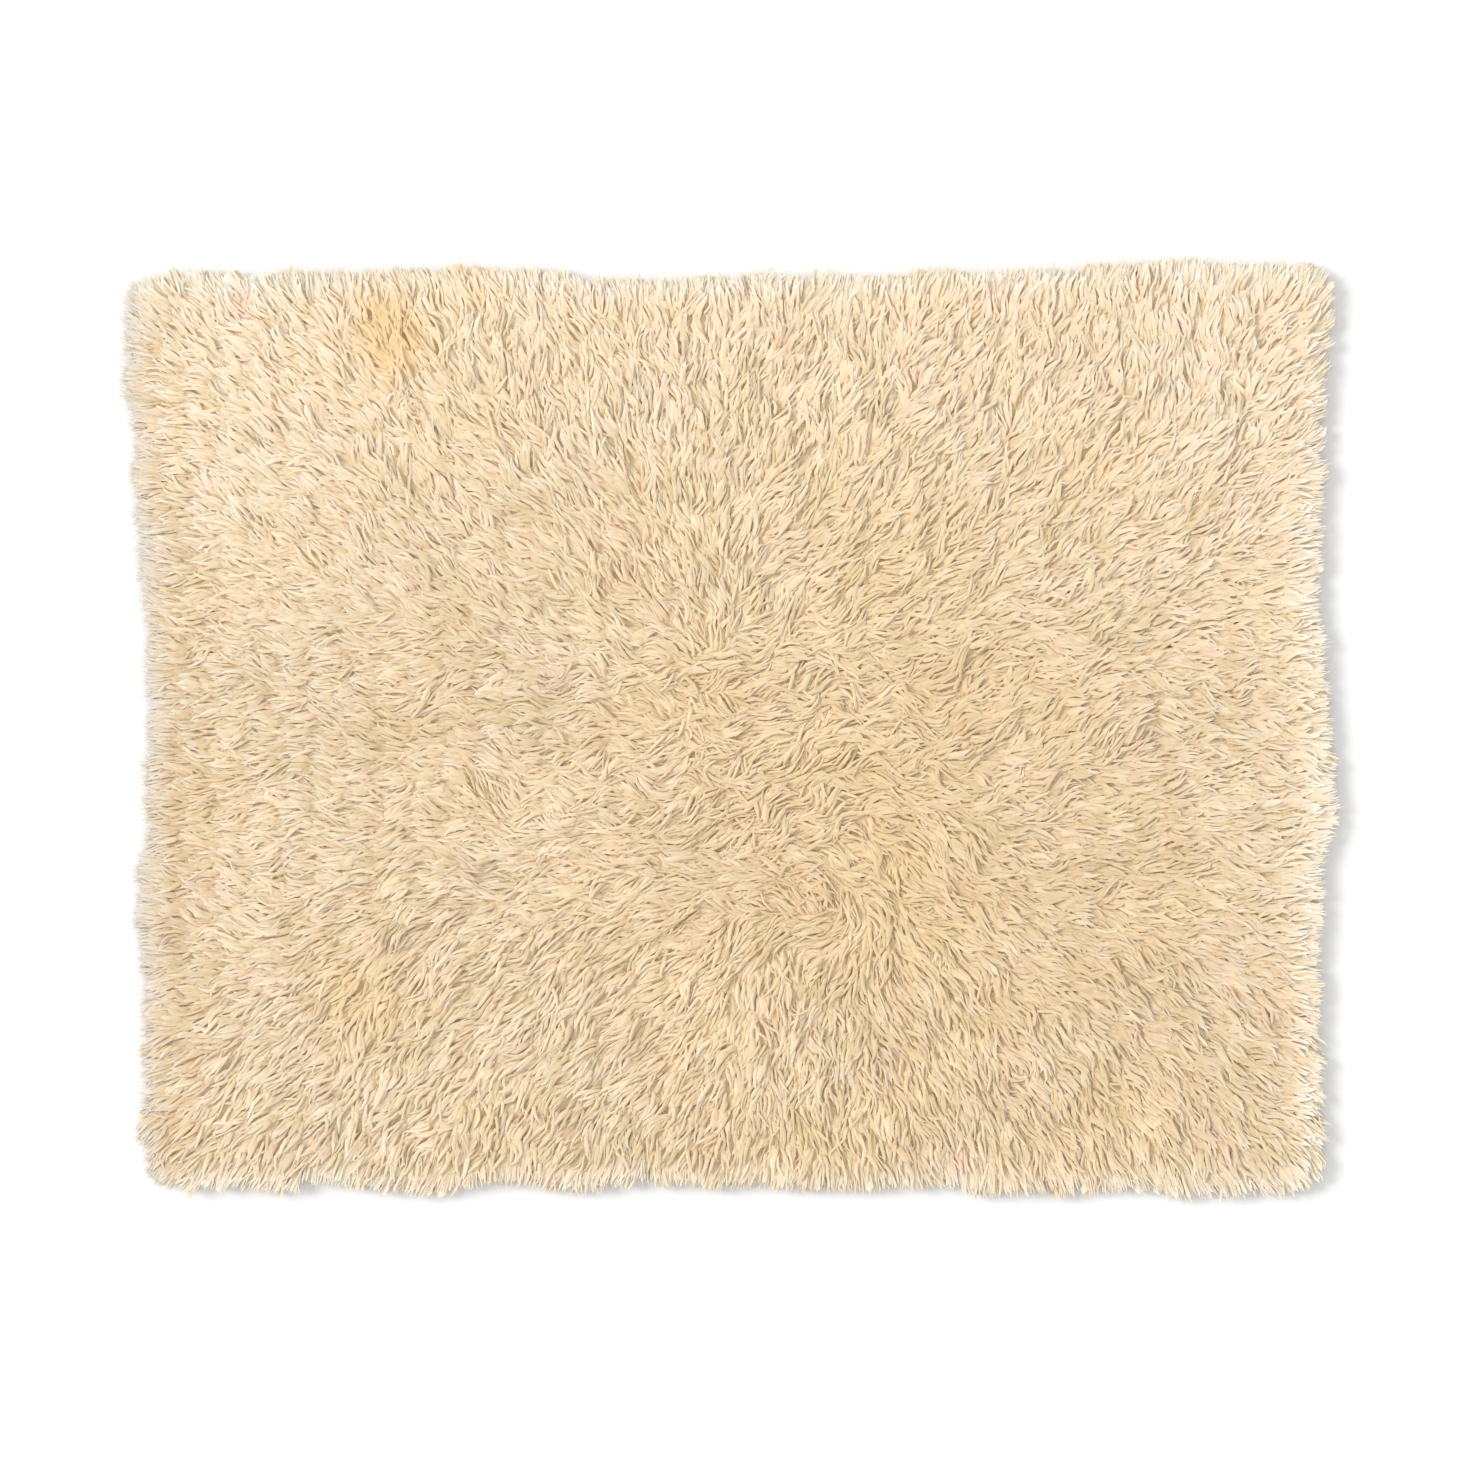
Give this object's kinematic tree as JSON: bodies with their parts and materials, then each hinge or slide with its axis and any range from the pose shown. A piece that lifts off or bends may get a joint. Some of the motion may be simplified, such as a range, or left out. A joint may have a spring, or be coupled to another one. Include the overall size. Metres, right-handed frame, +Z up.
{
  "type": "shag rug",
  "caption": "Rectangular shag rug of cream wool: a long pile combed outwards from the middle over a flat ground cloth, ending in tapering locks all round its rim.",
  "frame": {"origin": "the middle of the underside, on the floor, under the middle of the rug's bounding box", "axes": "+X along the long side, +Y along the short side towards the side that is at the top of the picture, +Z up out of the pile"},
  "size_m": [2, 1.54, 0.0465],
  "materials": {
    "wool_pile": "matte undyed cream wool, in long wavy locks that are paler at their tips"
  },
  "bodies": {
    "root": {"shag_rug": "wool_pile"}
  },
  "joints": []
}
